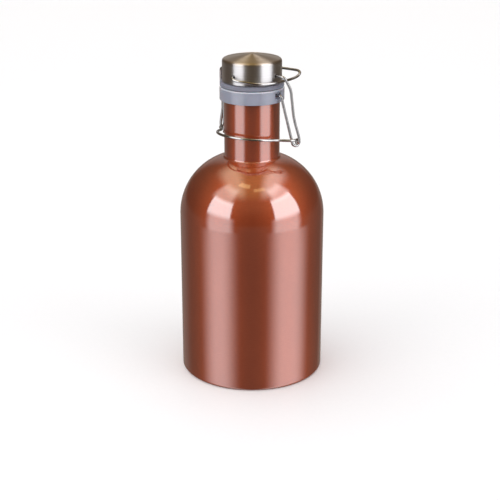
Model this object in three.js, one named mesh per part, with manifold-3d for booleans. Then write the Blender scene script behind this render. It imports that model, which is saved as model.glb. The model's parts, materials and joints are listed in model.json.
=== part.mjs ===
// Swing-top growler: a copper-coated steel bottle closed by a steel-capped stopper that a
// two-wire toggle holds down. Millimetres, +Z up, the bottle's axis on Z, the base on Z = 0.
// The wires hinge about axes parallel to X, and the lever's handle lies on the -Y side.
import * as THREE from 'three';
import * as BufferGeometryUtils from 'three/addons/utils/BufferGeometryUtils.js';
import Module from 'manifold-3d';

// ---- driving dimensions -------------------------------------------------------------------
const GAP = 0.3;                 // between pieces that touch or nest
const ROUND = 64;                // segments round the bottle
const ROUND_SMALL = 48;          // segments round the cap and the collar

const BODY_R = 61;               // bottle body
const WALL = 0.8;                // sheet thickness of the bottle
const WALL_TOP = 139.6;          // where the straight wall ends and the shoulder starts
const FOOT_R = 2.8;              // rounding at the foot
const FOOT_LIP = 5;              // width of the turned-in foot the bottle stands on
const BASE_RISE = 5.4;           // how far the base plate domes up inside

const SHOULDER_IN = 10.75;       // the shoulder's arc is centred this far from the axis
const SHOULDER_W = BODY_R - SHOULDER_IN;
const SHOULDER_H = 51.3;

const NECK_R = 23.15;
const NECK_FOOT = 187.5;         // the neck tube starts just inside the shoulder
const MOUTH_TOP = 248.9;
const MOUTH_R = 20.3;            // clear radius inside the rolled lip
const LIP_H = 1.3;

const COLLAR_R = 26.8;
const COLLAR_FOOT = 238;
const COLLAR_CHAMFER = 0.6;
const POCKET = [4, 7, 5];        // recess in the collar's side round each lever pivot: x, y, z
const POCKET_DEPTH = 2;

const SEAL_R = 26.6;             // silicone flange that closes the mouth
const SEAL_FOOT = 249.5;         // stands clear of the mouth by the dip of the toggle
const SEAL_TOP = 253;
const PLUG_R = 18.6;
const PLUG_TIP_R = 17.4;
const PLUG_FOOT = 245.6;

const STUD_R = 8;                // the core's stud that the seal is buttoned onto
const STUD_HEAD_R = 10.5;
const STUD_FOOT = 243.6;

const CAP_R = 24.7;              // spun steel cap
const CAP_WALL = 0.8;
const CAP_FOOT = 253.3;
const CAP_EDGE = 269.6;          // height where the wall turns in
const CAP_ROUND = 2.5;           // radius of that turn
const CAP_TOP = 275.6;

const WIRE_R = 1.1;
const WIRE_SIDES = 8;
const HOLE_R = 1.5;              // every hole a wire end turns in
const BEND_STEP = 30;            // degrees per segment in a bend

const LEVER_PIVOT = [0, 244.1];  // y, z of the lever's axis in the collar
const BAIL_PIVOT = [10.3, 204.5];// y, z of the bail's axis in the lever's eyes
const CAP_PIVOT = [0, 260];      // y, z of the bail's axis in the cap
const EYE_R = 2.7;               // centre line of the lever's eye
const EYE_X = 38.6;              // the eye's plane
const ARM_X = 36;                // where the arm runs into the eye, one wire inboard of it
const HANDLE_R = 28.8;           // the handle's half circle round the neck
const HANDLE_Z = 207.6;
const HANDLE_SLOPE = 0.125;      // the handle rises towards the front

// ---- finishes -----------------------------------------------------------------------------
const copper = { color: 0x8f4a38, roughness: 0.33, metalness: 1 };
const steel = { color: 0xb9b7b2, roughness: 0.25, metalness: 1 };
const brushed = { color: 0x9a958c, roughness: 0.38, metalness: 1 };
const greyPlastic = { color: 0xa3aab8, roughness: 0.42, metalness: 0 };
const silicone = { color: 0x9299a6, roughness: 0.6, metalness: 0 };
const corePlastic = { color: 0x6d7078, roughness: 0.5, metalness: 0 };

const growler = new THREE.Group();
growler.name = 'growler';

function add(name, geometry, finish) {
  geometry.computeVertexNormals();
  const mesh = new THREE.Mesh(geometry, new THREE.MeshStandardMaterial(finish));
  mesh.name = name;
  growler.add(mesh);
}

// ---- shapes turned about Z ----------------------------------------------------------------
// A profile is a list of [radius, height], counter-clockwise with the radius to the right.
function turned(profile, segments) {
  const onAxis = profile[0][0] === 0;
  const ring = onAxis ? profile : [...profile, profile[0]];
  const geometry = new THREE.LatheGeometry(ring.map(([r, z]) => new THREE.Vector2(r, z)), segments);
  return geometry.rotateX(Math.PI / 2);
}

// Points on an elliptical arc in a profile, angles in degrees from the outward direction.
function arc([r, z], a, b, from, to, steps) {
  const points = [];
  for (let i = 0; i <= steps; i += 1) {
    const angle = THREE.MathUtils.degToRad(THREE.MathUtils.lerp(from, to, i / steps));
    points.push([r + a * Math.cos(angle), z + b * Math.sin(angle)]);
  }
  return points;
}

// ---- booleans -----------------------------------------------------------------------------
const wasm = await Module();
wasm.setup();

function toSolid(geometry) {
  const bare = geometry.clone();
  bare.deleteAttribute('normal');
  bare.deleteAttribute('uv');
  const merged = BufferGeometryUtils.mergeVertices(bare, 1e-4);
  const mesh = new wasm.Mesh({
    numProp: 3,
    vertProperties: Float32Array.from(merged.attributes.position.array),
    triVerts: Uint32Array.from(merged.index.array),
  });
  return new wasm.Manifold(mesh);
}

function cut(geometry, tools) {
  const solid = tools.reduce((left, tool) => left.subtract(toSolid(tool)), toSolid(geometry));
  const mesh = solid.getMesh();
  const result = new THREE.BufferGeometry();
  result.setAttribute('position', new THREE.Float32BufferAttribute(mesh.vertProperties, 3));
  result.setIndex(Array.from(mesh.triVerts));
  return result;
}

// A round cutter along X or Y between two positions on that axis, at height z.
function drill(axis, from, to, z) {
  const sides = 16;
  const tool = new THREE.CylinderGeometry(HOLE_R, HOLE_R, to - from, sides);
  if (axis === 'x') tool.rotateZ(Math.PI / 2).translate((from + to) / 2, 0, z);
  else tool.translate(0, (from + to) / 2, z);
  return tool;
}

// ---- wires --------------------------------------------------------------------------------
// A wire's centre line as a list of points, with one section of the tube at each of them.
class WirePath extends THREE.Curve {
  constructor(points) {
    super();
    this.points = points;
  }

  getPointAt(u, target = new THREE.Vector3()) {
    return target.copy(this.points[Math.round(u * (this.points.length - 1))]);
  }

  getTangentAt(u, target = new THREE.Vector3()) {
    const last = this.points.length - 1;
    const i = Math.round(u * last);
    const before = this.points[Math.max(i - 1, 0)];
    const after = this.points[Math.min(i + 1, last)];
    return target.subVectors(after, before).normalize();
  }
}

function wire(points) {
  const section = [];
  for (let i = 0; i < WIRE_SIDES; i += 1) {
    const angle = (2 * Math.PI * i) / WIRE_SIDES;
    section.push(new THREE.Vector2(WIRE_R * Math.cos(angle), WIRE_R * Math.sin(angle)));
  }
  return new THREE.ExtrudeGeometry(new THREE.Shape(section), {
    steps: points.length - 1,
    extrudePath: new WirePath(points),
  });
}

// Rounds each corner of a path of [x, y, z, bend radius]. The ends, and any point without a
// radius, stay as they are.
function bent(corners) {
  const at = corners.map(([x, y, z]) => new THREE.Vector3(x, y, z));
  const points = [];
  corners.forEach(([, , , radius], i) => {
    if (!radius) {
      points.push(at[i]);
      return;
    }
    const back = at[i - 1].clone().sub(at[i]).normalize();
    const on = at[i + 1].clone().sub(at[i]).normalize();
    const half = back.angleTo(on) / 2;
    const centre = back.clone().add(on).normalize().multiplyScalar(radius / Math.sin(half)).add(at[i]);
    const start = back.multiplyScalar(radius / Math.tan(half)).add(at[i]).sub(centre);
    const end = on.multiplyScalar(radius / Math.tan(half)).add(at[i]).sub(centre);
    const turn = Math.PI - 2 * half;
    const axis = start.clone().cross(end).normalize();
    const steps = Math.max(2, Math.ceil(THREE.MathUtils.radToDeg(turn) / BEND_STEP));
    for (let s = 0; s <= steps; s += 1) {
      points.push(start.clone().applyAxisAngle(axis, (turn * s) / steps).add(centre));
    }
  });
  return points;
}

// One side's path, from the outer end to the middle plane, carried on to the mirrored end.
function mirrored(half) {
  const other = half.map((p) => new THREE.Vector3(-p.x, p.y, p.z)).reverse();
  const onPlane = Math.abs(half[half.length - 1].x) < 1e-6;
  return [...half, ...other.slice(onPlane ? 1 : 0)];
}

// ---- bottle -------------------------------------------------------------------------------
const footCentre = [BODY_R - FOOT_R, FOOT_R];
const footIn = BODY_R - FOOT_R - FOOT_LIP + FOOT_R;
add('bottle_wall', turned([
  [footIn, 0],
  ...arc(footCentre, FOOT_R, FOOT_R, -90, 0, 4),
  [BODY_R, WALL_TOP],
  [BODY_R - WALL, WALL_TOP],
  ...arc(footCentre, FOOT_R - WALL, FOOT_R - WALL, 0, -90, 4),
  [footIn, WALL],
], ROUND), copper);

const plateEdge = BODY_R - FOOT_R - GAP;
const plateFoot = WALL + GAP;
add('bottle_base', turned([
  [0, plateFoot + BASE_RISE],
  [plateEdge * 0.45, plateFoot + BASE_RISE * 0.8],
  [plateEdge * 0.8, plateFoot + BASE_RISE * 0.25],
  [plateEdge * 0.92, plateFoot],
  [plateEdge, plateFoot],
  [plateEdge, plateFoot + WALL],
  [plateEdge * 0.92, plateFoot + WALL],
  [plateEdge * 0.8, plateFoot + WALL + BASE_RISE * 0.25],
  [plateEdge * 0.45, plateFoot + WALL + BASE_RISE * 0.8],
  [0, plateFoot + WALL + BASE_RISE],
], ROUND), steel);

const shoulderCentre = [SHOULDER_IN, WALL_TOP];
const shoulderHole = NECK_R + GAP;
const arcStart = THREE.MathUtils.radToDeg(Math.asin(GAP / SHOULDER_H));
const outerEnd = THREE.MathUtils.radToDeg(Math.acos((shoulderHole - SHOULDER_IN) / SHOULDER_W));
const innerEnd = THREE.MathUtils.radToDeg(Math.acos((shoulderHole - SHOULDER_IN) / (SHOULDER_W - WALL)));
add('bottle_shoulder', turned([
  ...arc(shoulderCentre, SHOULDER_W, SHOULDER_H, arcStart, outerEnd, 9),
  ...arc(shoulderCentre, SHOULDER_W - WALL, SHOULDER_H - WALL, innerEnd, arcStart, 9),
], ROUND), copper);

const lipRound = 0.8;
add('bottle_neck', turned([
  [NECK_R, NECK_FOOT],
  ...arc([NECK_R - lipRound, MOUTH_TOP - lipRound], lipRound, lipRound, 0, 90, 3),
  [MOUTH_R + LIP_H / 4, MOUTH_TOP],
  [MOUTH_R, MOUTH_TOP - LIP_H / 4],
  [MOUTH_R, MOUTH_TOP - LIP_H * 0.75],
  [MOUTH_R + LIP_H / 4, MOUTH_TOP - LIP_H],
  [NECK_R - WALL, MOUTH_TOP - LIP_H],
  [NECK_R - WALL, NECK_FOOT],
], ROUND_SMALL), copper);

const collar = turned([
  [NECK_R + GAP, COLLAR_FOOT],
  [COLLAR_R - COLLAR_CHAMFER, COLLAR_FOOT],
  [COLLAR_R, COLLAR_FOOT + COLLAR_CHAMFER],
  [COLLAR_R, MOUTH_TOP - COLLAR_CHAMFER],
  [COLLAR_R - COLLAR_CHAMFER, MOUTH_TOP],
  [NECK_R + GAP, MOUTH_TOP],
], ROUND_SMALL);
const pocketX = COLLAR_R - POCKET_DEPTH + POCKET[0] / 2;
const pockets = [-pocketX, pocketX].map((x) => (
  new THREE.BoxGeometry(...POCKET).translate(x, LEVER_PIVOT[0], LEVER_PIVOT[1])
));
add('neck_collar', cut(collar, [
  ...pockets,
  drill('x', -2 * COLLAR_R, 2 * COLLAR_R, LEVER_PIVOT[1]),
]), greyPlastic);

// ---- stopper ------------------------------------------------------------------------------
add('stopper_seal', turned([
  [STUD_R + GAP, PLUG_FOOT],
  [PLUG_TIP_R, PLUG_FOOT],
  [PLUG_R, SEAL_FOOT],
  [SEAL_R - COLLAR_CHAMFER, SEAL_FOOT],
  [SEAL_R, SEAL_FOOT + COLLAR_CHAMFER],
  [SEAL_R, SEAL_TOP - COLLAR_CHAMFER],
  [SEAL_R - COLLAR_CHAMFER, SEAL_TOP],
  [STUD_R + GAP, SEAL_TOP],
], ROUND_SMALL), silicone);

const coreR = CAP_R - CAP_WALL - GAP;
const coreTop = CAP_EDGE - CAP_WALL - 1;
const coreChamfer = 1.8;
const headTop = PLUG_FOOT - GAP;
const core = turned([
  [0, STUD_FOOT],
  [STUD_HEAD_R - COLLAR_CHAMFER, STUD_FOOT],
  [STUD_HEAD_R, STUD_FOOT + COLLAR_CHAMFER],
  [STUD_HEAD_R, headTop],
  [STUD_R, headTop],
  [STUD_R, CAP_FOOT],
  [coreR, CAP_FOOT],
  [coreR, coreTop - coreChamfer],
  [coreR - coreChamfer, coreTop],
  [0, coreTop],
], ROUND_SMALL);
const loopBoreDepth = 8;
add('cap_core', cut(core, [
  drill('x', -CAP_R, CAP_R, CAP_PIVOT[1]),
  drill('y', -CAP_R, -loopBoreDepth, CAP_PIVOT[1]),
  drill('y', loopBoreDepth, CAP_R, CAP_PIVOT[1]),
]), corePlastic);

// The cap's top is a wall, a rounded edge and a low spun dome, and the inside follows it.
function capOutline(inset) {
  const edge = [CAP_R - CAP_ROUND, CAP_EDGE];
  const rim = CAP_ROUND - inset;
  const domeR = edge[0] + rim * Math.cos(THREE.MathUtils.degToRad(70));
  const domeFoot = edge[1] + rim * Math.sin(THREE.MathUtils.degToRad(70));
  const rise = CAP_TOP - inset - domeFoot;
  const dome = [0.8, 0.55, 0.28].map((t) => [domeR * t, domeFoot + rise * (1 - t ** 1.6)]);
  return [...arc(edge, rim, rim, 0, 70, 3), ...dome, [0, CAP_TOP - inset]];
}
const capShell = turned([
  ...capOutline(CAP_WALL).reverse(),
  [CAP_R - CAP_WALL, CAP_FOOT],
  [CAP_R, CAP_FOOT],
  ...capOutline(0),
], ROUND_SMALL);
add('cap_shell', cut(capShell, [
  drill('x', -2 * CAP_R, 2 * CAP_R, CAP_PIVOT[1]),
  drill('y', -2 * CAP_R, 2 * CAP_R, CAP_PIVOT[1]),
]), brushed);

// ---- lever wire: pivot ends, arms, eyes and the handle, all one wire ---------------------------
function eye() {
  const points = [];
  const start = 190;             // the arm runs onto the eye's front side, below its middle
  const end = 450;               // and the wire leaves over the top, outside the arm
  const steps = 12;
  for (let i = 0; i <= steps; i += 1) {
    const degrees = THREE.MathUtils.lerp(start, end, i / steps);
    const shift = THREE.MathUtils.smoothstep(degrees, start, start + 110);
    const angle = THREE.MathUtils.degToRad(degrees);
    points.push(new THREE.Vector3(
      THREE.MathUtils.lerp(ARM_X, EYE_X, shift),
      BAIL_PIVOT[0] + EYE_R * Math.cos(angle),
      BAIL_PIVOT[1] + EYE_R * Math.sin(angle),
    ));
  }
  return points;
}

function handle() {
  const points = [];
  const steps = 12;
  for (let i = 0; i <= steps; i += 1) {
    const angle = THREE.MathUtils.degToRad(THREE.MathUtils.lerp(14, 90, i / steps));
    points.push(new THREE.Vector3(
      HANDLE_R * Math.cos(angle),
      -HANDLE_R * Math.sin(angle),
      HANDLE_Z + HANDLE_SLOPE * HANDLE_R * Math.sin(angle),
    ));
  }
  points[steps].x = 0;
  return points;
}

const pivotEnd = NECK_R + 0.9;   // the end stops inside the collar, clear of the neck
const pivotBend = 29.8;
const eyeTop = BAIL_PIVOT[1] + EYE_R;
const eyeToHandle = new THREE.CatmullRomCurve3([
  [EYE_X, BAIL_PIVOT[0], eyeTop], [EYE_X, 7.5, eyeTop], [37.6, 4.6, 207.3],
  [35, 1.6, 207.5], [31.6, -1.6, 207.8], [29.2, -4.6, 208.1], [27.9, -7, 208.5],
].map((p) => new THREE.Vector3(...p)));
add('lever_wire', wire(mirrored([
  ...bent([
    [pivotEnd, ...LEVER_PIVOT],
    [pivotBend, ...LEVER_PIVOT, 2],
    [ARM_X - 0.5, BAIL_PIVOT[0] - EYE_R - 0.6, BAIL_PIVOT[1] + 3],
  ]),
  ...eye(),
  ...eyeToHandle.getPoints(12).slice(1, -1),
  ...handle(),
])), steel);

// ---- bail wire: hooks in the lever's eyes, arms, and the run through the cap -----------------
const hookX = EYE_X + 2 * WIRE_R + 0.4;
const bailHalf = bent([
  [EYE_X - 1.4, ...BAIL_PIVOT],
  [hookX, ...BAIL_PIVOT, 1.35],
  [hookX, 9.6, 209.8, 6],
  [37.1, 7.8, 225, 20],
  [36.3, 4.3, 249.5, 6],
  [32.8, ...CAP_PIVOT, 3.5],
  [0, ...CAP_PIVOT],
]);
add('bail_wire', wire(mirrored(bailHalf)), steel);

// ---- finger loop: a second wire in the cap's other pair of holes ------------------------------
const loopBow = new THREE.CatmullRomCurve3([
  [0, -25.4, 260], [0.7, -27.1, 259.5], [3.2, -27.9, 258.5], [12.1, -24.9, 257.2], [21.8, -17.0, 255.7],
  [26.6, -6.8, 255.4], [27.9, 6, 255.4], [28.6, 15.5, 255.5], [29.4, 23, 256.7],
  [29, 26.9, 258.6], [26, 29, 259.8], [18, 29.6, 260], [4, 28.3, 260], [0.7, 27.2, 260], [0, 25.4, 260],
].map((p) => new THREE.Vector3(...p)), false, 'centripetal');
add('finger_loop', wire([
  new THREE.Vector3(0, -loopBoreDepth - 2, CAP_PIVOT[1]),
  ...loopBow.getPoints(44),
  new THREE.Vector3(0, loopBoreDepth + 2, CAP_PIVOT[1]),
]), steel);

export default growler;
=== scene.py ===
"""Swing-top growler: satin copper bottle, grey collar and seal, spun steel cap and wire toggle."""
import json
import math

import bmesh
import bpy
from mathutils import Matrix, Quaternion, Vector


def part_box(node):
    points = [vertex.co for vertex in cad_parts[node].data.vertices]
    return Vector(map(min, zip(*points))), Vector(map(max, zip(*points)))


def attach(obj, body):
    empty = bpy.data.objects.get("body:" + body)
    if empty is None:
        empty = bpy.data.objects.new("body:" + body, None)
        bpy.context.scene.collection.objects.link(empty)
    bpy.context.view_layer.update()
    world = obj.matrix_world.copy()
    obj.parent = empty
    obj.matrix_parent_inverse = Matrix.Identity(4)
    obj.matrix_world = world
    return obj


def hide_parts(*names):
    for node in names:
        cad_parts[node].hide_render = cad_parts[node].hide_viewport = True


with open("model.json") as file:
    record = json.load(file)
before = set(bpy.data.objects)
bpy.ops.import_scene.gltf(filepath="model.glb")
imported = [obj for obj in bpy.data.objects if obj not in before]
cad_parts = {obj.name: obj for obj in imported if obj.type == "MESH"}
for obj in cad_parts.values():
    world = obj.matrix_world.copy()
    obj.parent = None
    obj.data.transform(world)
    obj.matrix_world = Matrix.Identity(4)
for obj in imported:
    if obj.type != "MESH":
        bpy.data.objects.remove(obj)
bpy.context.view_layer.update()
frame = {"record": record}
MM = 0.001

# ---- sizes in millimetres, from the CAD nodes where they show there --------------------------


def top(node):
    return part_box(node)[1].z / MM


def foot(node):
    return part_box(node)[0].z / MM


def radius(node):
    low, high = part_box(node)
    return (high.x - low.x) / 2 / MM


# bottle
WALL = 0.8
BODY_R = radius("bottle_wall")
WALL_TOP = top("bottle_wall")
FOOT_BEND = 2.8
FOOT_HOLE_R = 56.0
FOOT_EASE = 0.25
SHOULDER_IN = 10.75  # the shoulder is a quarter ellipse whose centre is this far off the axis
SHOULDER_W = BODY_R - SHOULDER_IN
SHOULDER_H = 51.3
NECK_R = radius("bottle_neck")
FILLET_R = 2.0
MOUTH_TOP = top("bottle_neck")
MOUTH_R = 20.3
LIP_R = 0.8
ROLL_R = 0.65
ROLL_EASE = 0.5
PLATE_R = 57.9
PLATE_FOOT = foot("bottle_base")
PLATE_RISE = 5.4

# collar, seal and core
GAP = 0.3  # between neighbouring pieces, as in the CAD
COLLAR_R = radius("neck_collar")
COLLAR_FOOT = foot("neck_collar")
COLLAR_TOP = top("neck_collar")
POCKET_SIZE = (4, 7, 5)
POCKET_EASE = 0.7
SEAL_R = radius("stopper_seal")
SEAL_TOP = top("stopper_seal")
SEAL_FOOT = 249.5
PLUG_FOOT = foot("stopper_seal")
PLUG_R = 17.4
PLUG_TOP_R = 18.8
PLUG_EASE = 0.35
STUD_R = 8.0
STUD_HEAD_R = 10.5
CORE_R = radius("cap_core")
CORE_FOOT = foot("cap_core")
CORE_TOP = top("cap_core")
CORE_EDGE = 1.8

# cap
CAP_R = radius("cap_shell")
CAP_SHEET = 0.8
CAP_FOOT = foot("cap_shell")
CAP_TOP = top("cap_shell")
CAP_EDGE = 269.6
CAP_BEND = 2.5
CAP_HOLE_R = 1.6

# wires and the axes they turn on
WIRE_R = 1.1
WIRE_BEVEL = 0.25
HOLE_R = 1.5
PIVOT = {joint["name"]: joint["pos_m"] for joint in frame["record"]["behaviour"]["joints"]}
LEVER_Z = PIVOT["lever_pivot"][2] / MM
BAIL_Y, BAIL_Z = PIVOT["bail_pivot"][1] / MM, PIVOT["bail_pivot"][2] / MM
CAP_Z = PIVOT["cap_pivot"][2] / MM
ARM_X = 36.0
EYE_X = 38.6
EYE_R = 2.7
HANDLE_R = 28.8
HANDLE_Z = 207.6
HANDLE_SLOPE = 0.125

# ---- outlines --------------------------------------------------------------------------------


def arc(centre, a, b, start, end, steps):
    """Profile points on an elliptical arc, angles in degrees from the outward direction."""
    points = []
    for i in range(steps + 1):
        angle = math.radians(start + (end - start) * i / steps)
        points.append((centre[0] + a * math.cos(angle), centre[1] + b * math.sin(angle)))
    return points


def lower_corner(r, z, bend, steps=6):
    """A rounded outer corner at the foot of a profile, from underneath to the side."""
    return arc((r - bend, z + bend), bend, bend, -90, 0, steps)


def upper_corner(r, z, bend, steps=6):
    """A rounded outer corner at the top of a profile, from the side inwards."""
    return arc((r - bend, z - bend), bend, bend, 0, 90, steps)


def bent(corners, step=5.0):
    """Points along a wire whose corners are (x, y, z, bend radius), step degrees apart in a bend."""
    at = [Vector(c[:3]) for c in corners]
    points = []
    for i, corner in enumerate(corners):
        bend = corner[3] if len(corner) > 3 else 0
        if not bend:
            points.append(at[i])
            continue
        back = (at[i - 1] - at[i]).normalized()
        on = (at[i + 1] - at[i]).normalized()
        half = back.angle(on) / 2
        centre = at[i] + (back + on).normalized() * (bend / math.sin(half))
        start = at[i] + back * (bend / math.tan(half)) - centre
        end = at[i] + on * (bend / math.tan(half)) - centre
        turn = math.pi - 2 * half
        axis = start.cross(end).normalized()
        count = max(3, math.ceil(math.degrees(turn) / step))
        for s in range(count + 1):
            points.append(centre + Quaternion(axis, turn * s / count) @ start)
    return points


def spline(points, per_span):
    """A centripetal Catmull-Rom curve through the points."""
    given = [Vector(p) for p in points]
    ends = [given[0] * 2 - given[1], *given, given[-1] * 2 - given[-2]]
    out = []
    for i in range(1, len(ends) - 2):
        p = ends[i - 1:i + 3]
        t = [0.0]
        for a, b in zip(p, p[1:]):
            t.append(t[-1] + max((b - a).length, 1e-6) ** 0.5)
        for s in range(per_span):
            u = t[1] + (t[2] - t[1]) * s / per_span
            a1 = p[0].lerp(p[1], (u - t[0]) / (t[1] - t[0]))
            a2 = p[1].lerp(p[2], (u - t[1]) / (t[2] - t[1]))
            a3 = p[2].lerp(p[3], (u - t[2]) / (t[3] - t[2]))
            b1 = a1.lerp(a2, (u - t[0]) / (t[2] - t[0]))
            b2 = a2.lerp(a3, (u - t[1]) / (t[3] - t[1]))
            out.append(b1.lerp(b2, (u - t[1]) / (t[2] - t[1])))
    out.append(given[-1])
    return out


def mirrored(half):
    """A wire's path from one side to its last point, on X = 0, and back on the other side."""
    return [*half, *[Vector((-p.x, p.y, p.z)) for p in reversed(half[:-1])]]


def smooth(t):
    """Eases from 0 to 1 as t does."""
    t = min(max(t, 0.0), 1.0)
    return t * t * (3 - 2 * t)


# ---- solids ----------------------------------------------------------------------------------


def shade(mesh, crease):
    """Smooth shading, with edges sharper than crease degrees kept sharp."""
    mesh.shade_smooth()
    mesh.set_sharp_from_angle(angle=math.radians(crease))


def finish_mesh(name, bm, crease=32.0):
    """Makes an object of the bmesh, and frees the bmesh."""
    bmesh.ops.remove_doubles(bm, verts=bm.verts, dist=1e-7)
    bmesh.ops.recalc_face_normals(bm, faces=bm.faces)
    mesh = bpy.data.meshes.new(name)
    bm.to_mesh(mesh)
    bm.free()
    shade(mesh, crease)
    obj = bpy.data.objects.new(name, mesh)
    bpy.context.collection.objects.link(obj)
    return obj


def turned(name, profile, segments=256, crease=32.0):
    """A closed solid turned about Z from (radius, height) points in millimetres."""
    bm = bmesh.new()
    rings = []
    for r, z in profile:
        if r < 1e-6:
            rings.append([bm.verts.new((0, 0, z * MM))])
            continue
        ring = []
        for i in range(segments):
            angle = 2 * math.pi * i / segments
            x, y = r * math.cos(angle), r * math.sin(angle)
            ring.append(bm.verts.new((x * MM, y * MM, z * MM)))
        rings.append(ring)
    if len(rings[0]) > 1:
        rings.append(rings[0])
    for low, high in zip(rings, rings[1:]):
        for i in range(segments):
            j = (i + 1) % segments
            if len(low) == 1:
                bm.faces.new((low[0], high[i], high[j]))
            elif len(high) == 1:
                bm.faces.new((low[i], low[j], high[0]))
            else:
                bm.faces.new((low[i], low[j], high[j], high[i]))
    return finish_mesh(name, bm, crease)


def wire(name, points, sides=24, nearest=0.02):
    """A round wire along the points, with its cut ends bevelled; points too near are left out."""
    path = [points[0]]
    for p in points[1:]:
        if (p - path[-1]).length > nearest:
            path.append(p)
    tangents = []
    for i in range(len(path)):
        tangents.append((path[min(i + 1, len(path) - 1)] - path[max(i - 1, 0)]).normalized())
    normal = tangents[0].orthogonal().normalized()
    sections = []
    for i, (p, t) in enumerate(zip(path, tangents)):
        if i:
            normal = tangents[i - 1].rotation_difference(t) @ normal
            normal = (normal - t * normal.dot(t)).normalized()
        sections.append((p, t, normal.copy(), WIRE_R))
    (first, first_t, first_n, _), (last, last_t, last_n, _) = sections[0], sections[-1]
    sections = [
        (first, first_t, first_n, WIRE_R - WIRE_BEVEL),
        (first + first_t * WIRE_BEVEL, first_t, first_n, WIRE_R),
        *sections[1:-1],
        (last - last_t * WIRE_BEVEL, last_t, last_n, WIRE_R),
        (last, last_t, last_n, WIRE_R - WIRE_BEVEL),
    ]
    bm = bmesh.new()
    rings = []
    for p, t, n, r in sections:
        side = t.cross(n)
        ring = []
        for k in range(sides):
            angle = 2 * math.pi * k / sides
            out = n * math.cos(angle) + side * math.sin(angle)
            ring.append(bm.verts.new((p + out * r) * MM))
        rings.append(ring)
    for low, high in zip(rings, rings[1:]):
        for k in range(sides):
            j = (k + 1) % sides
            bm.faces.new((low[k], low[j], high[j], high[k]))
    bm.faces.new(rings[0][::-1])
    bm.faces.new(rings[-1])
    return finish_mesh(name, bm, 40.0)


def cut(obj, cutters, crease=32.0, sliver=5e-6):
    """Cuts the cutters out of obj for good, removes them and clears away the slivers left over."""
    for cutter in cutters:
        modifier = obj.modifiers.new("cut", "BOOLEAN")
        modifier.operation = "DIFFERENCE"
        modifier.solver = "EXACT"
        modifier.object = cutter
    graph = bpy.context.evaluated_depsgraph_get()
    mesh = bpy.data.meshes.new_from_object(obj.evaluated_get(graph))
    obj.modifiers.clear()
    bm = bmesh.new()
    bm.from_mesh(mesh)
    bmesh.ops.remove_doubles(bm, verts=bm.verts, dist=sliver)
    bmesh.ops.dissolve_degenerate(bm, edges=bm.edges, dist=sliver)
    bmesh.ops.triangulate(bm, faces=[face for face in bm.faces if len(face.verts) > 4])
    bm.to_mesh(mesh)
    bm.free()
    obj.data = mesh
    shade(mesh, crease)
    for cutter in cutters:
        bpy.data.objects.remove(cutter)


def drill(axis, start, end, z, r=HOLE_R):
    """A round cutter along X or Y, from start to end at height z."""
    middle = (start + end) / 2
    if axis == "x":
        turn, centre = Quaternion((0, 1, 0), math.pi / 2), Vector((middle, 0, z))
    else:
        turn, centre = Quaternion((1, 0, 0), -math.pi / 2), Vector((0, middle, z))
    bm = bmesh.new()
    bmesh.ops.create_cone(bm, cap_ends=True, segments=48, radius1=r * MM, radius2=r * MM,
                          depth=(end - start) * MM)
    for vert in bm.verts:
        vert.co = turn @ vert.co + centre * MM
    return finish_mesh("cutter", bm)


def pocket(x, size, z, ease):
    """A box cutter with rounded edges, centred at x and height z."""
    bm = bmesh.new()
    bmesh.ops.create_cube(bm, size=1.0)
    for vert in bm.verts:
        vert.co = (vert.co * Vector(size) + Vector((x, 0, z))) * MM
    bmesh.ops.bevel(bm, geom=list(bm.edges), offset=ease * MM, segments=4, profile=0.5,
                    affect="EDGES")
    return finish_mesh("cutter", bm)


# ---- materials -------------------------------------------------------------------------------


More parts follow.
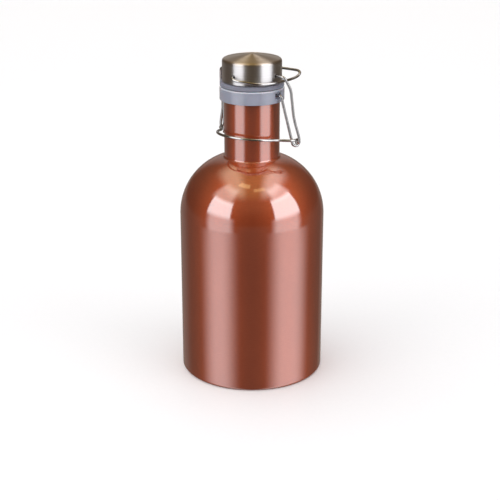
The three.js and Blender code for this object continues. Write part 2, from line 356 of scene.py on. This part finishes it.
class Surface:
    """A principled material with small helpers for its procedural detail."""

    def __init__(self, name, color, metallic, roughness, **sockets):
        self.material = bpy.data.materials.new(name)
        self.material.use_nodes = True
        self.tree = self.material.node_tree
        self.shader = self.tree.nodes["Principled BSDF"]
        self.shader.inputs["Base Color"].default_value = (*color, 1)
        self.shader.inputs["Metallic"].default_value = metallic
        self.shader.inputs["Roughness"].default_value = roughness
        for socket, value in sockets.items():
            self.shader.inputs[socket.replace("_", " ")].default_value = value
        self.coords = self.tree.nodes.new("ShaderNodeTexCoord").outputs["Object"]

    def texture(self, vector, scale, detail, rough):
        node = self.tree.nodes.new("ShaderNodeTexNoise")
        node.inputs["Scale"].default_value = scale
        node.inputs["Detail"].default_value = detail
        node.inputs["Roughness"].default_value = rough
        self.tree.links.new(vector, node.inputs["Vector"])
        return node.outputs["Fac"]

    def noise(self, scale, detail=4.0, rough=0.55, stretch=(1, 1, 1)):
        mapping = self.tree.nodes.new("ShaderNodeMapping")
        mapping.inputs["Scale"].default_value = stretch
        self.tree.links.new(self.coords, mapping.inputs["Vector"])
        return self.texture(mapping.outputs["Vector"], scale, detail, rough)

    def split(self):
        """The place on the object as separate X, Y and Z outputs."""
        node = self.tree.nodes.new("ShaderNodeSeparateXYZ")
        self.tree.links.new(self.coords, node.inputs["Vector"])
        return node.outputs

    def join(self, x, y):
        node = self.tree.nodes.new("ShaderNodeCombineXYZ")
        self.tree.links.new(x, node.inputs["X"])
        self.tree.links.new(y, node.inputs["Y"])
        return node.outputs["Vector"]

    def length(self, vector):
        node = self.tree.nodes.new("ShaderNodeVectorMath")
        node.operation = "LENGTH"
        self.tree.links.new(vector, node.inputs["Vector"])
        return node.outputs["Value"]

    def ramp(self, source, low, high, start=0.35, end=0.65):
        """A colour that goes from low to high as the source goes from start to end."""
        ramp = self.tree.nodes.new("ShaderNodeValToRGB")
        ramp.color_ramp.elements[0].position = start
        ramp.color_ramp.elements[1].position = end
        ramp.color_ramp.elements[0].color = (*low, 1)
        ramp.color_ramp.elements[1].color = (*high, 1)
        self.tree.links.new(source, ramp.inputs["Fac"])
        return ramp.outputs["Color"]

    def spread(self, source, low, high, start=0.3, end=0.7):
        """A number that goes from low to high as the source goes from start to end."""
        node = self.tree.nodes.new("ShaderNodeMapRange")
        node.inputs["From Min"].default_value = start
        node.inputs["From Max"].default_value = end
        node.inputs["To Min"].default_value = low
        node.inputs["To Max"].default_value = high
        self.tree.links.new(source, node.inputs["Value"])
        return node.outputs["Result"]

    def blend(self, amount, low, high):
        node = self.tree.nodes.new("ShaderNodeMix")
        node.data_type = "RGBA"
        self.tree.links.new(amount, node.inputs["Factor"])
        self.tree.links.new(low, node.inputs[6])
        self.tree.links.new(high, node.inputs[7])
        return node.outputs[2]

    def turned(self):
        """Runs the grain round the object's Z axis."""
        tangent = self.tree.nodes.new("ShaderNodeTangent")
        tangent.direction_type = "RADIAL"
        tangent.axis = "Z"
        self.into(tangent.outputs["Tangent"], "Tangent")

    def into(self, source, socket):
        self.tree.links.new(source, self.shader.inputs[socket])

    def bump(self, source, strength, distance):
        node = self.tree.nodes.new("ShaderNodeBump")
        node.inputs["Strength"].default_value = strength
        node.inputs["Distance"].default_value = distance
        self.tree.links.new(source, node.inputs["Height"])
        self.into(node.outputs["Normal"], "Normal")


def copper():
    """Brushed round the bottle under a clear coat, so its highlights stretch up and down."""
    s = Surface("satin_copper", (0.49, 0.094, 0.03), 1.0, 0.65, Anisotropic=0.5,
                Anisotropic_Rotation=0.25, Coat_Weight=1.0, Coat_Roughness=0.07, Coat_IOR=2.5)
    cloud = s.noise(26.0, 3.0, stretch=(1, 1, 0.6))
    s.into(s.ramp(cloud, (0.475, 0.089, 0.027), (0.515, 0.102, 0.033)), "Base Color")
    grain = s.noise(2400.0, 3.0, 0.6, stretch=(0.12, 0.12, 1))
    s.into(s.spread(grain, 0.60, 0.70), "Roughness")
    s.bump(grain, 0.05, 0.00003)
    s.turned()
    return s.material


def inner_steel():
    s = Surface("drawn_steel_inside", (0.52, 0.51, 0.50), 1.0, 0.35)
    grain = s.noise(900.0, stretch=(1, 1, 0.05))
    s.into(s.spread(grain, 0.28, 0.44), "Roughness")
    s.into(s.ramp(grain, (0.44, 0.43, 0.42), (0.58, 0.57, 0.56)), "Base Color")
    return s.material


def base_steel():
    s = Surface("base_plate_steel", (0.55, 0.54, 0.52), 1.0, 0.36, Anisotropic=0.5)
    grain = s.noise(620.0, 6.0, 0.7)
    s.into(s.spread(grain, 0.28, 0.5), "Roughness")
    s.into(s.ramp(grain, (0.47, 0.46, 0.44), (0.6, 0.59, 0.57)), "Base Color")
    s.bump(grain, 0.12, 0.00004)
    return s.material


def spun_steel():
    """Fine circular turning marks that stretch the highlights, and a warm painted reflection tinted
    into the dome's colour.
    """
    s = Surface("spun_steel", (0.56, 0.55, 0.55), 1.0, 0.34, Anisotropic=0.95,
                Anisotropic_Rotation=0.25)
    x, y, z = s.split()
    rings = s.join(s.length(s.join(x, y)), z)
    marks = s.texture(rings, 2600.0, 3.0, 0.5)
    s.into(s.spread(marks, 0.29, 0.39), "Roughness")
    steel = s.ramp(marks, (0.52, 0.515, 0.52), (0.60, 0.595, 0.60))
    # painted reflection: the dome's base colour is tinted warm to stand in for the warm lamps
    # reflected in it
    warm_reflection_tone = s.ramp(marks, (0.48, 0.42, 0.355), (0.555, 0.49, 0.425))
    warm_reflection_mask = s.spread(z, 0.0, 1.0, (CAP_EDGE - 1.0) * MM, (CAP_EDGE + CAP_BEND) * MM)
    s.into(s.blend(warm_reflection_mask, steel, warm_reflection_tone), "Base Color")
    s.bump(marks, 0.08, 0.00003)
    s.turned()
    return s.material


def wire_steel():
    s = Surface("wire_steel", (0.42, 0.42, 0.42), 1.0, 0.13)
    grain = s.noise(420.0, 5.0, 0.6)
    s.into(s.spread(grain, 0.08, 0.20), "Roughness")
    s.into(s.ramp(grain, (0.38, 0.38, 0.385), (0.48, 0.48, 0.48)), "Base Color")
    s.bump(grain, 0.05, 0.00004)
    return s.material


def collar_plastic():
    """Semi-gloss grey plastic, with a pale painted highlight along its upper rim."""
    s = Surface("collar_plastic", (0.34, 0.36, 0.43), 0.0, 0.36, Subsurface_Weight=0.15,
                Subsurface_Scale=0.002, Coat_Weight=1.0, Coat_Roughness=0.12)
    cloud = s.noise(120.0, 3.0)
    body = s.ramp(cloud, (0.235, 0.25, 0.315), (0.265, 0.28, 0.35))
    # painted highlight: a pale band on the rounded top edge stands in for the overhead light caught
    # there
    rim_highlight = s.ramp(cloud, (0.66, 0.68, 0.74), (0.72, 0.74, 0.80))
    height = s.split()["Z"]
    rim_highlight_mask = s.spread(height, 0.0, 1.0, (COLLAR_TOP - 1.1) * MM, (COLLAR_TOP - 0.2) * MM)
    s.into(s.blend(rim_highlight_mask, body, rim_highlight), "Base Color")
    fine = s.noise(1500.0, 2.0)
    s.into(s.spread(fine, 0.31, 0.42), "Roughness")
    s.bump(fine, 0.06, 0.00005)
    return s.material


def silicone():
    s = Surface("seal_silicone", (0.22, 0.23, 0.29), 0.0, 0.5, Subsurface_Weight=0.1,
                Subsurface_Scale=0.001)
    cloud = s.noise(160.0, 3.0)
    s.into(s.ramp(cloud, (0.175, 0.178, 0.225), (0.20, 0.205, 0.255)), "Base Color")
    fine = s.noise(1800.0, 3.0)
    s.into(s.spread(fine, 0.44, 0.6), "Roughness")
    s.bump(fine, 0.08, 0.00005)
    return s.material


def core_plastic():
    s = Surface("core_plastic", (0.16, 0.165, 0.18), 0.0, 0.5)
    fine = s.noise(1100.0)
    s.into(s.ramp(fine, (0.145, 0.15, 0.165), (0.18, 0.185, 0.2)), "Base Color")
    s.into(s.spread(fine, 0.42, 0.58), "Roughness")
    s.bump(fine, 0.1, 0.00006)
    return s.material


WIRE_STEEL = wire_steel()


def place(obj, body, slot, nodes, *materials):
    """Gives obj its materials, hides the CAD nodes it stands for and attaches it to its body; slot
    is not used.
    """
    for material in materials:
        obj.data.materials.append(material)
    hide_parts(*nodes)
    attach(obj, body)


# ---- bottle ----------------------------------------------------------------------------------


def beside_shoulder(degrees):
    """The point FILLET_R outside the shoulder's curve, and the curve's outward direction there."""
    angle = math.radians(degrees)
    out = Vector((math.cos(angle) / SHOULDER_W, math.sin(angle) / SHOULDER_H)).normalized()
    return (SHOULDER_IN + SHOULDER_W * math.cos(angle) + FILLET_R * out.x,
            WALL_TOP + SHOULDER_H * math.sin(angle) + FILLET_R * out.y,
            math.degrees(math.atan2(out.y, out.x)))


def fillet_start():
    """How far up the shoulder, in degrees, a fillet touches both the shoulder and the neck."""
    steep, flat = 0.0, 90.0
    for _ in range(40):
        middle = (steep + flat) / 2
        if beside_shoulder(middle)[0] > NECK_R + FILLET_R:
            steep = middle
        else:
            flat = middle
    return steep


def bottle_skin():
    """Wall, shoulder and neck in one copper skin with a steel inside and a rolled mouth."""
    shoulder_centre = (SHOULDER_IN, WALL_TOP)
    foot_centre = (BODY_R - FOOT_BEND, FOOT_BEND)
    first, last = 1.5, fillet_start()
    fillet_r, fillet_z, slope = beside_shoulder(last)
    inner_last = math.degrees(math.acos((NECK_R - WALL - SHOULDER_IN) / (SHOULDER_W - WALL)))
    roll_foot = MOUTH_TOP - 2 * ROLL_R
    skin = turned("bottle_skin", [
        (FOOT_HOLE_R, FOOT_EASE), (FOOT_HOLE_R + FOOT_EASE, 0),
        *lower_corner(BODY_R, 0, FOOT_BEND, 14),
        *[(BODY_R, FOOT_BEND + (WALL_TOP - FOOT_BEND) * t) for t in (0.25, 0.5, 0.75, 1)],
        *arc(shoulder_centre, SHOULDER_W, SHOULDER_H, first, last, 56),
        *arc((fillet_r, fillet_z), FILLET_R, FILLET_R, 180 + slope, 180, 10)[1:],
        (NECK_R, COLLAR_FOOT),
        *upper_corner(NECK_R, MOUTH_TOP, LIP_R, 8),
        *arc((MOUTH_R + ROLL_R, MOUTH_TOP - ROLL_R), ROLL_R, ROLL_R, 90, 270, 14),
        (NECK_R - WALL - ROLL_EASE, roll_foot),
        (NECK_R - WALL, roll_foot - ROLL_EASE),
        *arc(shoulder_centre, SHOULDER_W - WALL, SHOULDER_H - WALL, inner_last, first, 40),
        (BODY_R - WALL, WALL_TOP),
        *arc(foot_centre, FOOT_BEND - WALL, FOOT_BEND - WALL, 0, -90, 8),
        (FOOT_HOLE_R, WALL),
    ], 320)
    place(skin, "bottle", "copper_coat", ("bottle_wall", "bottle_shoulder", "bottle_neck"),
          copper(), inner_steel())
    for face in skin.data.polygons:
        at, normal = face.center / MM, face.normal
        inward = normal.xy.dot(at.xy) < -0.001
        on_fillet = at.z > fillet_z - FILLET_R and at.xy.length > NECK_R - WALL / 2
        on_lip = at.z > MOUTH_TOP - LIP_R
        on_foot_bend = at.z < FOOT_BEND and normal.z > 0.2
        if inward and not on_fillet or on_lip or on_foot_bend:
            face.material_index = 1


def base_plate():
    """A thin plate with a flat rim, domed up under the bottle."""
    dome_edge = 0.92
    outline = [(1, 0.0), (0.93, 0.0), (0.91, 0.18)]
    for t in (0.86, 0.8, 0.72, 0.6, 0.45, 0.3, 0.15, 0):
        outline.append((t, PLATE_RISE * (1 - (t / dome_edge) ** 2.2)))
    under = [(PLATE_R * t, PLATE_FOOT + z) for t, z in outline]
    above = [(r, z + WALL) for r, z in under]
    plate = turned("base_plate", [*reversed(under), *above])
    place(plate, "bottle", "base_steel", ("bottle_base",), base_steel())


def mouth_collar():
    """A ring with a recess at each side, where the lever's ends go into their holes."""
    fit_r = NECK_R + GAP
    ease = 0.3
    collar = turned("mouth_collar", [
        (fit_r, COLLAR_FOOT + ease), (fit_r + ease, COLLAR_FOOT),
        *lower_corner(COLLAR_R, COLLAR_FOOT, 0.6),
        *upper_corner(COLLAR_R, COLLAR_TOP, 1.2, 10),
        (fit_r + ease, COLLAR_TOP), (fit_r, COLLAR_TOP - ease),
    ])
    cut(collar, [
        pocket(-COLLAR_R, POCKET_SIZE, LEVER_Z, POCKET_EASE),
        pocket(COLLAR_R, POCKET_SIZE, LEVER_Z, POCKET_EASE),
        drill("x", -2 * COLLAR_R, 2 * COLLAR_R, LEVER_Z),
    ])
    place(collar, "bottle", "collar_plastic", ("neck_collar",), collar_plastic())


# ---- stopper ---------------------------------------------------------------------------------


def mouth_seal():
    """A flat ring on the mouth with a tapered plug under it, round the core's stud."""
    seal = turned("mouth_seal", [
        (STUD_R + GAP, PLUG_FOOT),
        *lower_corner(PLUG_R, PLUG_FOOT, 0.5, 5),
        (PLUG_TOP_R - PLUG_EASE, SEAL_FOOT - PLUG_EASE), (PLUG_TOP_R, SEAL_FOOT),
        *lower_corner(SEAL_R, SEAL_FOOT, 0.6),
        *upper_corner(SEAL_R, SEAL_TOP, 0.7),
        (STUD_R + GAP, SEAL_TOP),
    ])
    place(seal, "stopper", "seal_silicone", ("stopper_seal",), silicone())


def stopper_core():
    """The plug in the cap, with a headed stud under it that holds the seal."""
    head_top = PLUG_FOOT - GAP
    loop_hole_end = 8
    core = turned("stopper_core", [
        (0, CORE_FOOT),
        *lower_corner(STUD_HEAD_R, CORE_FOOT, 0.7),
        (STUD_HEAD_R, head_top), (STUD_R, head_top), (STUD_R, CAP_FOOT), (CORE_R, CAP_FOOT),
        (CORE_R, CORE_TOP - CORE_EDGE), (CORE_R - CORE_EDGE, CORE_TOP), (0, CORE_TOP),
    ], 192)
    cut(core, [
        drill("x", -CAP_R, CAP_R, CAP_Z),
        drill("y", -CAP_R, -loop_hole_end, CAP_Z),
        drill("y", loop_hole_end, CAP_R, CAP_Z),
    ])
    place(core, "stopper", "core_plastic", ("cap_core",), core_plastic())


def cap_outline(inset):
    """The bend over the cap's side and its pointed dome, from the side to the axis."""
    edge_r = CAP_R - CAP_BEND
    bend = CAP_BEND - inset
    bend_end = 70
    steps = 24
    dome_r = edge_r + bend * math.cos(math.radians(bend_end))
    dome_foot = CAP_EDGE + bend * math.sin(math.radians(bend_end))
    dome_h = CAP_TOP - inset - dome_foot
    dome = [(dome_r * (1 - i / steps), dome_foot + dome_h * (1 - (1 - i / steps) ** 1.6))
            for i in range(1, steps)]
    return [*arc((edge_r, CAP_EDGE), bend, bend, 0, bend_end, 12), *dome, (0, CAP_TOP - inset)]


def spun_cap():
    """A thin steel shell with a pointed dome and four cross-drilled holes."""
    ease_in, ease_out = 0.25, 0.3
    inner_r = CAP_R - CAP_SHEET
    shell = turned("spun_cap", [
        *reversed(cap_outline(CAP_SHEET)),
        (inner_r, CAP_FOOT + ease_in), (inner_r + ease_in, CAP_FOOT),
        (CAP_R - ease_out, CAP_FOOT), (CAP_R, CAP_FOOT + ease_out),
        *cap_outline(0),
    ], crease=40.0)
    cut(shell, [drill(axis, -2 * CAP_R, 2 * CAP_R, CAP_Z, CAP_HOLE_R) for axis in "xy"], 40.0)
    place(shell, "stopper", "cap_steel", ("cap_shell",), spun_steel())


# ---- wires -----------------------------------------------------------------------------------


def lever_eye():
    """Most of a turn round the bail's hook, moving out from the arm to the handle's plane."""
    start, sweep, steps = 190, 260, 52
    moved_by = 110
    points = []
    for i in range(steps + 1):
        degrees = start + sweep * i / steps
        out = smooth((degrees - start) / moved_by)
        angle = math.radians(degrees)
        points.append(Vector((ARM_X + (EYE_X - ARM_X) * out,
                              BAIL_Y + EYE_R * math.cos(angle),
                              BAIL_Z + EYE_R * math.sin(angle))))
    return points


def lever_handle():
    """The bow in front of the neck, from its side to X = 0."""
    start, steps = 14, 40
    points = []
    for i in range(steps + 1):
        angle = math.radians(start + (90 - start) * i / steps)
        front = HANDLE_R * math.sin(angle)
        points.append(Vector((HANDLE_R * math.cos(angle), -front,
                              HANDLE_Z + HANDLE_SLOPE * front)))
    points[-1].x = 0
    return points


def lever():
    """One wire: an end in the collar, an arm, an eye, the bow of the handle, and back again."""
    eye_top = BAIL_Z + EYE_R
    arm = bent([
        (NECK_R + 0.9, 0, LEVER_Z), (29.8, 0, LEVER_Z, 2),
        (ARM_X - 0.5, BAIL_Y - EYE_R - 0.6, BAIL_Z + 3),
    ])
    across = spline([
        (EYE_X, BAIL_Y, eye_top), (EYE_X, 7.5, eye_top), (37.6, 4.6, 207.3), (35, 1.6, 207.5),
        (31.6, -1.6, 207.8), (29.2, -4.6, 208.1), (27.9, -7, 208.5),
    ], 6)
    half = [*arm, *lever_eye(), *across[1:-1], *lever_handle()]
    place(wire("lever", mirrored(half)), "lever", "wire_steel", ("lever_wire",), WIRE_STEEL)


def bail():
    """One wire: a hook in the lever's eye, an arm, the run through the cap, and back again."""
    hook_x = EYE_X + 2 * WIRE_R + 0.4
    half = bent([
        (EYE_X - 1.4, BAIL_Y, BAIL_Z), (hook_x, BAIL_Y, BAIL_Z, 1.35), (hook_x, 9.6, 209.8, 16),
        (37.1, 7.8, 225, 45), (36.3, 4.3, 249.5, 20), (32.8, 0, CAP_Z, 3.5), (0, 0, CAP_Z),
    ], 3.0)
    place(wire("bail", mirrored(half)), "bail", "wire_steel", ("bail_wire",), WIRE_STEEL)


def finger_ring():
    """From the cap's front hole, under the bail and out to a tab, and into the back hole."""
    end_y = 10
    path = [
        Vector((0, -end_y, CAP_Z)),
        *spline([
            (0, -25.4, 260), (0.7, -27.1, 259.5), (3.2, -27.9, 258.5), (12.1, -24.9, 257.2),
            (21.8, -17.0, 255.7), (26.6, -6.8, 255.4), (27.9, 6, 255.4), (28.6, 15.5, 255.5),
            (29.4, 23, 256.7), (29, 26.9, 258.6), (26, 29, 259.8), (18, 29.6, 260),
            (4, 28.3, 260), (0.7, 27.2, 260), (0, 25.4, 260),
        ], 8),
        Vector((0, end_y, CAP_Z)),
    ]
    place(wire("finger_ring", path), "stopper", "wire_steel", ("finger_loop",), WIRE_STEEL)


for make in (bottle_skin, base_plate, mouth_collar, mouth_seal, stopper_core, spun_cap,
             lever, bail, finger_ring):
    make()

# ---- camera ----------------------------------------------------------------------------------

VIEW_AZIMUTH = 37.5  # degrees from -Y towards +X
CAMERA_BACK, CAMERA_HEIGHT = 1.0, 0.470  # metres
CAMERA_PITCH, CAMERA_YAW = math.radians(20.06), math.radians(-0.094)
view_angle = math.radians(VIEW_AZIMUTH)
across_view = Vector((math.cos(view_angle), math.sin(view_angle), 0))
into_view = Vector((-math.sin(view_angle), math.cos(view_angle), 0))


def aim(pitch, yaw):
    """The direction pitch below the level and yaw to the right of the view."""
    level = into_view * math.cos(yaw) + across_view * math.sin(yaw)
    return level * math.cos(pitch) + Vector((0, 0, -math.sin(pitch)))


camera = bpy.data.objects.new("camera", bpy.data.cameras.new("camera"))
bpy.context.collection.objects.link(camera)
camera.data.sensor_width = 36
camera.data.lens = 88.81
camera.data.clip_start = 0.05
camera.data.clip_end = 60
camera.location = into_view * -CAMERA_BACK + Vector((0, 0, CAMERA_HEIGHT))
camera.rotation_euler = aim(CAMERA_PITCH, CAMERA_YAW).to_track_quat("-Z", "Y").to_euler()
bpy.context.scene.camera = camera

# ---- floor and backdrop ----------------------------------------------------------------------

FLOOR_R, BACKDROP_R = 14, 13  # metres


def pale_floor():
    bm = bmesh.new()
    bmesh.ops.create_circle(bm, cap_ends=True, segments=96, radius=FLOOR_R)
    floor = finish_mesh("floor", bm)
    paper = Surface("pale_floor", (0.86, 0.86, 0.86), 0.0, 0.4, Specular_IOR_Level=0.25)
    grain = paper.noise(260.0, 3.0)
    paper.into(paper.ramp(grain, (0.86, 0.86, 0.865), (0.87, 0.87, 0.875)), "Base Color")
    floor.data.materials.append(paper.material)
    floor.visible_glossy = False


def white_backdrop():
    """A sphere round the set that only the camera sees."""
    bm = bmesh.new()
    bmesh.ops.create_uvsphere(bm, u_segments=64, v_segments=32, radius=BACKDROP_R)
    backdrop = finish_mesh("backdrop", bm)
    white = Surface("white_backdrop", (0, 0, 0), 0.0, 1.0, Specular_IOR_Level=0,
                    Emission_Strength=1.0)
    glow = white.ramp(white.noise(0.2), (0.97, 0.97, 0.97), (0.99, 0.99, 0.99))
    white.into(glow, "Emission Color")
    backdrop.data.materials.append(white.material)
    for ray in ("diffuse", "glossy", "transmission", "volume_scatter", "shadow"):
        setattr(backdrop, "visible_" + ray, False)


pale_floor()
white_backdrop()

# ---- light -----------------------------------------------------------------------------------

world = bpy.data.worlds.new("studio")
bpy.context.scene.world = world
world.use_nodes = True
tree = world.node_tree
tree.nodes.clear()


def math_node(operation, *values):
    node = tree.nodes.new("ShaderNodeMath")
    node.operation = operation
    for i, value in enumerate(values):
        if isinstance(value, (int, float)):
            node.inputs[i].default_value = value
        else:
            tree.links.new(value, node.inputs[i])
    return node.outputs[0]


def fade(value, middle, soft):
    """Rises smoothly from 0 to 1 over a width of soft about the middle."""
    node = tree.nodes.new("ShaderNodeMapRange")
    node.interpolation_type = "SMOOTHSTEP"
    node.inputs["From Min"].default_value = middle - soft / 2
    node.inputs["From Max"].default_value = middle + soft / 2
    tree.links.new(value, node.inputs["Value"])
    return node.outputs["Result"]


def window(value, low, high, soft):
    """1 between low and high and 0 outside, each edge fading over a width of soft."""
    return math_node("MULTIPLY", fade(value, low, soft),
                     math_node("SUBTRACT", 1.0, fade(value, high, soft)))


way = tree.nodes.new("ShaderNodeTexCoord").outputs["Generated"]
split = tree.nodes.new("ShaderNodeSeparateXYZ")
tree.links.new(way, split.inputs["Vector"])
way_x, way_y, way_z = split.outputs
PER_RADIAN = math.degrees(1)
azimuth = math_node("MULTIPLY",
                    math_node("ARCTAN2", way_x, math_node("MULTIPLY", way_y, -1.0)), PER_RADIAN)
elevation = math_node("MULTIPLY", math_node("ARCSINE", way_z), PER_RADIAN)
lateral = math_node("ADD", math_node("MULTIPLY", way_x, across_view.x),
                    math_node("MULTIPLY", way_y, across_view.y))


def patch(azimuths, elevations):
    """A light between two azimuths and two elevations, each given as (low, high, soft) in degrees.

    Azimuths count from the camera's, and run from -217.5 behind the bottle to 142.5.
    """
    low, high, soft = azimuths
    return math_node("MULTIPLY", window(azimuth, VIEW_AZIMUTH + low, VIEW_AZIMUTH + high, soft),
                     window(elevation, *elevations))


def strip(laterals, elevations):
    """A long light overhead, parallel to the view, from one sideways position to another."""
    return math_node("MULTIPLY", window(lateral, *laterals), window(elevation, *elevations))


def lit(shape, color, under):
    """Adds a colour, weighted by the shape, to the light under it."""
    node = tree.nodes.new("ShaderNodeVectorMath")
    node.operation = "MULTIPLY_ADD"
    tree.links.new(shape, node.inputs[0])
    node.inputs[1].default_value = color
    if isinstance(under, tuple):
        node.inputs[2].default_value = under
    else:
        tree.links.new(under, node.inputs[2])
    return node.outputs["Vector"]


ROOM = (0.05, 0.038, 0.03)
ALL_ROUND = (-400, 400, 3)
WALL_HEIGHT = (-95, 22, 20)
OVERHEAD = (50, 120, 24)
BELOW_BOX = (-200, -17, 7)
LIGHTS = (
    # the room: its sides, its warm ceiling and what the floor sends up
    (patch((-360, -80, 40), WALL_HEIGHT), (0.05, 0.035, 0.022)),
    (patch((80, 360, 40), WALL_HEIGHT), (0.05, 0.035, 0.022)),
    (patch(ALL_ROUND, (22, 200, 30)), (0.13, 0.085, 0.045)),
    (strip((-0.30, 0.36, 0.3), (50, 120, 20)), (0.30, 0.22, 0.06)),
    (patch(ALL_ROUND, (-200, -4, 8)), (0.06, 0.055, 0.05)),
    # a soft box at the left and one at the right
    (patch((-77, -35, 3), (8, 35, 8)), (3.2, 3.2, 3.3)),
    (patch((37, 83, 3), (6, 40, 8)), (3.4, 3.4, 3.5)),
    # their glow above, and the strips that carry it on overhead
    (patch((-82, -38, 14), (33, 60, 12)), (1.4, 1.3, 1.2)),
    (patch((42, 86, 14), (38, 60, 12)), (1.7, 1.6, 1.6)),
    (strip((-0.56, -0.20, 0.24), OVERHEAD), (1.2, 1.05, 0.75)),
    (strip((0.26, 0.62, 0.24), OVERHEAD), (1.5, 1.4, 1.3)),
    # two small warm lamps high up
    (patch((-56, -8, 4), (68, 76, 3)), (1.4, 0.95, 0.42)),
    (patch((6, 42, 4), (61, 67, 3)), (1.1, 0.75, 0.33)),
    # the boxes' glow below them, and in the floor
    (patch((-73, -32, 14), (-17, 8, 6)), (1.5, 1.5, 1.55)),
    (patch((35, 80, 14), (-17, 6, 6)), (1.55, 1.55, 1.6)),
    (patch((-76, -34, 34), BELOW_BOX), (1.25, 1.25, 1.3)),
    (patch((36, 90, 34), BELOW_BOX), (1.25, 1.25, 1.3)),
    # a dim panel behind the bottle, and its glow in the floor
    (patch((-200, -160, 20), (0, 40, 12)), (0.34, 0.33, 0.32)),
    (patch((-214, -130, 30), (-90, -4, 8)), (0.14, 0.135, 0.13)),
)
light = ROOM
for shape, color in LIGHTS:
    light = lit(shape, color, light)

# Shiny surfaces see the lights above. Matt ones get an even grey, and the sun's wide disc.
studio = tree.nodes.new("ShaderNodeBackground")
tree.links.new(light, studio.inputs["Color"])
fill = tree.nodes.new("ShaderNodeBackground")
fill.inputs["Color"].default_value = (0.42, 0.42, 0.43, 1)
rays = tree.nodes.new("ShaderNodeLightPath")
background = tree.nodes.new("ShaderNodeMixShader")
tree.links.new(rays.outputs["Is Diffuse Ray"], background.inputs["Fac"])
tree.links.new(studio.outputs["Background"], background.inputs[1])
tree.links.new(fill.outputs["Background"], background.inputs[2])
output = tree.nodes.new("ShaderNodeOutputWorld")
tree.links.new(background.outputs["Shader"], output.inputs["Surface"])

overhead = bpy.data.objects.new("overhead", bpy.data.lights.new("overhead", "SUN"))
bpy.context.collection.objects.link(overhead)
overhead.data.angle = math.radians(100)
overhead.data.energy = 2.25
overhead.rotation_euler = (math.radians(12), math.radians(-8), 0)
overhead.visible_glossy = False

bpy.context.scene.view_settings.view_transform = "Standard"
bpy.context.scene.view_settings.look = "None"
